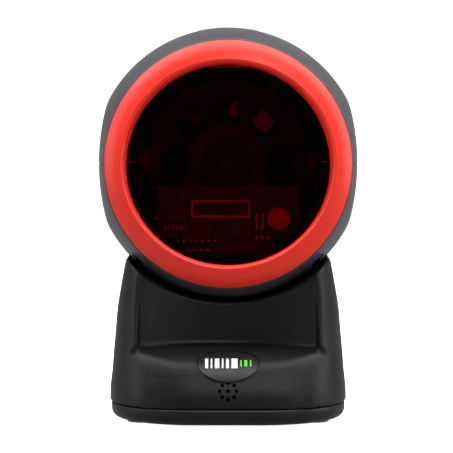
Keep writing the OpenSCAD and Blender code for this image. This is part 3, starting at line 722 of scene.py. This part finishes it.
def make_badge():
    """The oval badge plate and its printed stripes, white ones first and then green ones."""
    edge = [(1, 0.3, 0.8), (1, 0.2, 0.7), (1, 0.2, 0.42), (1, 0.32, 0.3)]
    plate, faces = oval_solid(BADGE_A, BADGE_B, disc_rows(0.8) + edge + disc_rows(0.3)[::-1])
    add_piece("badge_inlay", on_toe(plate, BADGE_TURN), faces, "stand",
              MATERIALS["badge_black"], ("badge_plate",))
    gap, low, high = 0.9, 0.08, 0.3
    x = -8.3
    for name, material, half, widths in (
            ("badge_stripes_white", MATERIALS["badge_print"], 2.6, (1.1, 0.6, 1.6, 0.6, 1.1, 2.2)),
            ("badge_stripes_green", BADGE_GREEN, 1.7, (0.6, 1.1, 0.6))):
        points, faces = [], []
        for width in widths:
            rows = [[(x, y, low), (x + width, y, low), (x + width, y, high), (x, y, high)]
                    for y in np.linspace(-half, half, 7)]
            faces += [tuple(k + len(points) for k in f) for f in rings_to_faces(7, 4)]
            points += on_toe([p for row in rows for p in row], BADGE_TURN).tolist()
            x += width + gap
        bars = add_piece(name, points, faces, "stand", material, ("badge_bars",))
        bevel(bars, 0.05, 1)


# ---------- head ----------

def ball_reach(direction, inset=0.0):
    """The ball's radius along unit directions, flattened by a shallow dome on each side."""
    side = np.abs(direction[..., 0])
    offset = SIDE_DOME_R - SIDE_HALF
    dome = -offset * side + np.sqrt((offset * side) ** 2 - offset ** 2 + SIDE_DOME_R ** 2)
    return -smooth_max(-dome, np.full_like(dome, -BALL_R), 0.5) - inset


def shell_grid(polars, turns, drops, inset):
    """Points on the ball for forward angles and turns about the forward axis, drops lower its rims."""
    p, t = np.meshgrid(polars, turns, indexing="ij")
    direction = np.stack([np.sin(p) * np.cos(t), -np.cos(p), np.sin(p) * np.sin(t)], -1)
    reach = ball_reach(direction, inset) - drops
    return direction * reach[..., None]


def rim_spread(start, end, count):
    """Angles from start to end with extra rows close to both ends."""
    middle = np.linspace(start + RIM_NEAR[-1] * 1.8, end - RIM_NEAR[-1] * 1.8, count)
    return np.concatenate([start + RIM_NEAR, middle, (end - RIM_NEAR)[::-1]])


def make_shell(upper):
    """Half of the ball's hollow shell, with its mouth in front and its seam at half height."""
    count = 130
    mouth = math.atan2(math.sqrt(BALL_R ** 2 - MOUTH_U ** 2), MOUTH_U)
    polars = np.concatenate([mouth + RIM_NEAR, np.linspace(mouth + 0.022, math.pi, count)])
    turns = rim_spread(0, math.pi, count)
    if not upper:
        turns = -turns
    m, n, edge = len(polars), len(turns), len(RIM_DROPS)
    rows, columns = np.zeros(m), np.zeros(n)  # how far each row and column is drawn in at the rims
    rows[:edge] = RIM_DROPS
    columns[:edge], columns[-edge:] = RIM_DROPS * 0.8, RIM_DROPS[::-1] * 0.8
    outer = shell_grid(polars, turns, np.maximum(rows[:, None], columns[None, :]), 0)
    inner = shell_grid(polars, turns, 0, SHELL_T)
    inner[0] = np.stack([MOUTH_BORE * np.cos(turns), np.full(n, -MOUTH_U), MOUTH_BORE * np.sin(turns)], 1)
    points = np.concatenate([outer.reshape(-1, 3), inner.reshape(-1, 3)])
    points[:, 2] += SEAM_GAP if upper else -SEAM_GAP
    half = "upper" if upper else "lower"
    shell = add_piece("head_shell_" + half, points + BALL, shell_faces(m, n, upper), "head",
                      MATERIALS["ball_plastic"], ("head_" + half + "_shell",))
    weld(shell)
    return shell


def shell_faces(m, n, upper):
    """Quads over an outer and an inner grid of m by n points, with walls along mouth and seam."""
    faces = []
    base = m * n
    for i in range(m - 1):
        for j in range(n - 1):
            a, b, c, d = i * n + j, i * n + j + 1, (i + 1) * n + j + 1, (i + 1) * n + j
            faces.append((a, b, c, d))
            faces.append((base + d, base + c, base + b, base + a))
    for j in range(n - 1):
        faces.append((j + 1, j, base + j, base + j + 1))
    last = n - 1
    for i in range(m - 1):
        here, there = i * n, (i + 1) * n
        faces.append((here, there, base + there, base + here))
        faces.append((there + last, here + last, base + here + last, base + there + last))
    return faces if upper else [f[::-1] for f in faces]


def weld(piece, distance_mm=0.001):
    """Merges points that coincide, such as the ball's back pole."""
    step = piece.modifiers.new("weld", "WELD")
    step.merge_threshold = distance_mm * MM
    apply_modifiers(piece)


def wedge(x0, x1, start, end):
    """A wedge below the pivot axis between two angles from straight down, towards the back."""
    reach = 80  # well past the ball
    rim = [(0, 0)] + [(reach * math.sin(t), -reach * math.cos(t)) for t in np.radians([start, end])]
    points = [(x, BALL[1] + y, BALL[2] + z) for x in (x0, x1) for y, z in rim]
    return np.array(points), [(2, 1, 0), (3, 4, 5), (0, 1, 4, 3), (1, 2, 5, 4), (2, 0, 3, 5)]


def stadium(half_l, half_w, inset, count=20):
    """Points round a slot outline, drawn in by an inset."""
    r = half_w - inset
    straight = half_l - half_w
    bend = [(straight + r * math.cos(t), r * math.sin(t)) for t in np.radians(np.linspace(-90, 90, count))]
    along = np.linspace(-straight, straight, 22)[1:-1]
    far_bend = [(-x, -y) for x, y in bend]
    return bend + [(x, r) for x in along[::-1]] + far_bend + [(x, -r) for x in along]


def strip_solid(half_l, half_w, layers):
    """A slot-shaped solid that follows the ball's crown: layers are inset and radius."""
    points = []
    for inset, radius in layers:
        for x, y in stadium(half_l, half_w, inset):
            points.append((x, y, math.sqrt(radius ** 2 - x * x - y * y)))
    count = len(stadium(half_l, half_w, 0))
    return np.array(points) + BALL, rings_to_faces(len(layers), count)


def make_head():
    """The ball's two shells with their slots, and the light strip on the crown."""
    upper = make_shell(True)
    lower = make_shell(False)
    opening = [(0, 46.0), (0, 49.9), (-0.3, 50.3), (-0.8, 52)]
    cut(upper, [cutter(*strip_solid(STRIP_A + STRIP_GAP, STRIP_B + STRIP_GAP, opening))])
    cable_slot = wedge(-5, 5, -6, 50)
    ear_slots = [wedge(left, right, -23.5, 33.5) for left, right in yoke_slots()]
    cut(lower, [cutter(*slot) for slot in (cable_slot, *ear_slots)])
    lens_points, lens_faces = strip_solid(STRIP_A, STRIP_B, [
        (0, 48.4), (0, 50.45), (0.12, 50.75), (0.4, 50.95), (0.9, 51.05), (1.6, 51.1), (2.3, 51.1)])
    add_piece("light_strip", lens_points, lens_faces, "head", MATERIALS["lens_clear"],
              ("indicator_lens",))


def make_bezel():
    """The red ring, its little hood over the window and the window itself."""
    face_start, face_end = np.array([BEZEL_R, GROOVE_U + 0.55]), np.array([CREST_R + 0.45, CREST_U - 0.18])
    away = np.array([face_end[1] - face_start[1], face_start[0] - face_end[0]])
    away = away / np.linalg.norm(away)
    bow = 0.35
    face = [tuple(face_start + (face_end - face_start) * t + away * bow * 4 * t * (1 - t))
            for t in np.linspace(0, 1, 14)]
    crest = [(CREST_R + 0.2, CREST_U + 0.02), (CREST_R - 0.2, CREST_U + 0.03),
             (CREST_R - 0.45, CREST_U - 0.12)]
    inner = [(38.15, 26.7), (37.85, 26.3), (37.7, 25.8), (37.1, 22.3), (36.3, 19.5), (35.5, PLUG_U + 0.3),
             (35.8, PLUG_U)]
    back = [(MOUTH_BORE - 0.3, PLUG_U), (MOUTH_BORE, PLUG_U + 0.3), (MOUTH_BORE, GROOVE_U)]
    lip = [(BEZEL_R - 0.45, GROOVE_U), (BEZEL_R - 0.13, GROOVE_U + 0.13)]
    profile = face + crest + inner + back + lip
    points, faces = lathe(profile[::-1], 288)
    inward = (BEZEL_R - np.hypot(points[:, 0], points[:, 1])) / (BEZEL_R - CREST_R)
    points[:, 1] *= 1 - OPENING_SQUASH * np.where(points[:, 2] > GROOVE_U, np.clip(inward, 0, 1), 0)
    bezel = add_piece("window_bezel", forward(points), faces, "head",
                      MATERIALS["bezel_red"], ("bezel_ring",), 40)
    pocket, pocket_faces = turned_solid([(WINDOW_R + 0.03, -20), (WINDOW_R + 0.03, 0)], 192)
    cut(bezel, [cutter(forward(leaned(pocket)), pocket_faces)], 40)
    round_r = 0.25
    pane, pane_faces = turned_solid([(WINDOW_R - round_r, -WINDOW_T), (WINDOW_R, -WINDOW_T + round_r),
                                     (WINDOW_R, -round_r), (WINDOW_R - round_r, 0)], 192)
    hood, hood_faces = box_solid(-11, 11, 35.3, 35.9, 16.2, 18.4)
    bevel(add_piece("window_shade", forward(hood), [f[::-1] for f in hood_faces], "head",
                    MATERIALS["bezel_red"]), 0.15)
    add_piece("window_pane", forward(leaned(pane)), pane_faces, "head",
              MATERIALS["window_glass"], ("scan_window",))


def finish_cad_nodes():
    """Gives every CAD node that stays its material and rounded edges."""
    slots = {s["node"]: s["material_slot"] for s in frame["record"]["subparts"]}
    for name, node in frame["nodes"].items():
        node.data.materials.clear()
        node.data.materials.append(NODE_MATERIALS.get(name, MATERIALS[slots[name]]))
        bevel(node, 0.12, angle=50)


# ---------- studio ----------

def lamp_panel(name, place, aim, size, power):
    """A rectangular soft lamp."""
    light = bpy.data.lights.new(name, "AREA")
    light.shape = "RECTANGLE"
    light.size, light.size_y = size
    light.energy = power
    lamp = bpy.data.objects.new(name, light)
    bpy.context.scene.collection.objects.link(lamp)
    aim_at(lamp, place, aim)


def aim_at(thing, place, aim):
    """Puts a lamp or the camera in place and turns it towards a point."""
    thing.location = place
    thing.rotation_euler = (Vector(aim) - Vector(place)).to_track_quat("-Z", "Y").to_euler()


def stage_sheet(name, corners, faces, grey, glow):
    """A plain glowing sheet that belongs to the studio."""
    mesh = bpy.data.meshes.new(name)
    mesh.from_pydata(corners, [], faces)
    sheet = bpy.data.objects.new(name, mesh)
    bpy.context.scene.collection.objects.link(sheet)
    s = Shader(name).set(Roughness=0.9, Emission_Color=(1, 1, 1, 1), Emission_Strength=glow)
    s.link(s.mix(s.between(s.noise(200), 0, 1), (grey,) * 3, shade((grey,) * 3, 0.98)), "Base Color")
    mesh.materials.append(s.material)
    return sheet


def make_studio():
    """A white floor and backdrop for the camera, dim sheets for reflections, and soft lamps."""
    world = bpy.data.worlds.new("studio")
    bpy.context.scene.world = world
    world.use_nodes = True
    sky = world.node_tree.nodes["Background"]
    sky.inputs["Color"].default_value = (0.9, 0.95, 1.0, 1)
    sky.inputs["Strength"].default_value = 0.03
    reach, sides, white, dark = 3.0, 48, 0.9, 0.1
    square = [(-reach, -reach), (reach, -reach), (reach, reach), (-reach, reach)]
    rim = [(reach * math.cos(t), reach * math.sin(t)) for t in np.arange(sides) * 2 * math.pi / sides]
    arc = [(2.8 * math.cos(t), 2.8 * math.sin(t)) for t in np.linspace(0, math.pi, sides)]
    floor = stage_sheet("floor", [(x, y, 0) for x, y in square], [(0, 1, 2, 3)], white, 1.0)
    backdrop = stage_sheet("backdrop", [(x, y, z) for z in (-0.4, 4) for x, y in rim],
                           rings_to_faces(2, sides, caps=False), white, 1.1)
    bounce = stage_sheet("bounce", [(x, y, -0.03) for x, y in square], [(0, 1, 2, 3)], dark, 0.4)
    surround = stage_sheet("surround", [(x, y, z) for z in (-0.4, 2.5) for x, y in arc],
                           rings_to_faces(2, sides, closed=False, caps=False), dark, 0.32)
    for sheet in (bounce, surround):
        sheet.visible_camera = False
    for sheet in (floor, backdrop):
        sheet.visible_glossy = False
        sheet.visible_diffuse = False
    # name, place, aim, size and power
    lamp_panel("top_box", (0.0, -0.05, 0.85), (0, 0, 0.05), (1.9, 0.5), 16)
    lamp_panel("left_box", (-0.75, -0.1, 0.3), (0, 0, 0.08), (0.35, 0.7), 1.8)
    lamp_panel("right_box", (0.75, -0.05, 0.3), (0, 0, 0.08), (0.35, 0.7), 2.6)
    lamp_panel("left_strip", (-0.6, -0.75, 0.25), (0, 0, 0.06), (0.12, 0.8), 0.8)
    lamp_panel("right_strip", (0.6, -0.75, 0.25), (0, 0, 0.06), (0.12, 0.8), 1.6)
    lamp_panel("front_fill", (0.3, -1.2, 1.05), (0, 0, 0.1), (0.6, 0.6), 7.5)


def make_camera():
    """The main view: in front of the ball, a little above it and tipped down."""
    distance, view_width, sensor = 0.75, 0.1699, 36
    rise, drop = 0.0124, 0.0238
    camera = bpy.data.cameras.new("camera")
    camera.sensor_width = sensor
    camera.lens = sensor * distance / view_width
    eye = bpy.data.objects.new("camera", camera)
    bpy.context.scene.collection.objects.link(eye)
    x, y, z = -0.0006, BALL[1] * MM, BALL[2] * MM
    aim_at(eye, (x, y - distance, z + rise), (x, y, z - drop))
    bpy.context.scene.camera = eye


make_camera()
make_studio()
finish_cad_nodes()
make_stand()
make_base()
make_bosses()
make_badge()
make_head()
make_bezel()

bpy.context.scene.view_settings.view_transform = "Standard"
